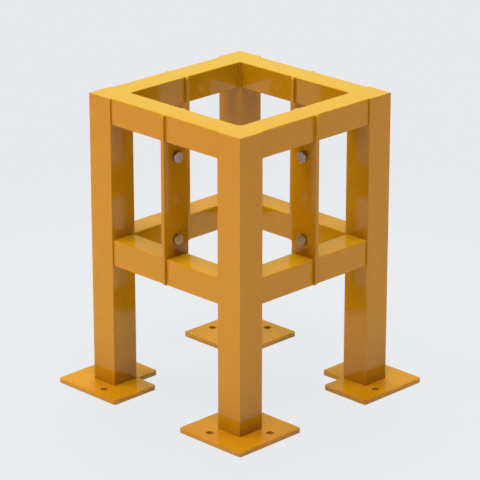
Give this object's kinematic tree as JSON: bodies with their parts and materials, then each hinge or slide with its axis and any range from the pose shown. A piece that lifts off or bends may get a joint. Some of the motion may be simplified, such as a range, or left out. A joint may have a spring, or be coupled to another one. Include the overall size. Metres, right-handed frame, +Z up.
{
  "type": "rack column guard",
  "caption": "Square guard of welded steel tube that bolts together around a standing rack column, with rails, flanges and notched base plates to anchor to the floor.",
  "frame": {"origin": "on the floor, in the middle of the column space", "axes": "+Z up, +X to the right and +Y to the back as the front side is seen from outside"},
  "size_m": [0.772, 0.772, 0.912],
  "materials": {
    "yellow_powder_coat": "gloss",
    "zinc_plated_steel": "satin"
  },
  "bodies": {
    "root": {"post_front_right": "yellow_powder_coat", "post_cap_front_right": "yellow_powder_coat", "base_plate_front_right": "yellow_powder_coat", "post_back_right": "yellow_powder_coat", "post_cap_back_right": "yellow_powder_coat", "base_plate_back_right": "yellow_powder_coat", "post_back_left": "yellow_powder_coat", "post_cap_back_left": "yellow_powder_coat", "base_plate_back_left": "yellow_powder_coat", "post_front_left": "yellow_powder_coat", "post_cap_front_left": "yellow_powder_coat", "base_plate_front_left": "yellow_powder_coat", "top_rail_front_left": "yellow_powder_coat", "lower_rail_front_left": "yellow_powder_coat", "flange_front_left": "yellow_powder_coat", "top_rail_front_right": "yellow_powder_coat", "lower_rail_front_right": "yellow_powder_coat", "flange_front_right": "yellow_powder_coat", "top_rail_right_front": "yellow_powder_coat", "lower_rail_right_front": "yellow_powder_coat", "flange_right_front": "yellow_powder_coat", "top_rail_right_back": "yellow_powder_coat", "lower_rail_right_back": "yellow_powder_coat", "flange_right_back": "yellow_powder_coat", "top_rail_back_right": "yellow_powder_coat", "lower_rail_back_right": "yellow_powder_coat", "flange_back_right": "yellow_powder_coat", "top_rail_back_left": "yellow_powder_coat", "lower_rail_back_left": "yellow_powder_coat", "flange_back_left": "yellow_powder_coat", "top_rail_left_back": "yellow_powder_coat", "lower_rail_left_back": "yellow_powder_coat", "flange_left_back": "yellow_powder_coat", "top_rail_left_front": "yellow_powder_coat", "lower_rail_left_front": "yellow_powder_coat", "flange_left_front": "yellow_powder_coat", "flange_bolts": "zinc_plated_steel", "flange_nuts": "zinc_plated_steel"}
  },
  "joints": []
}
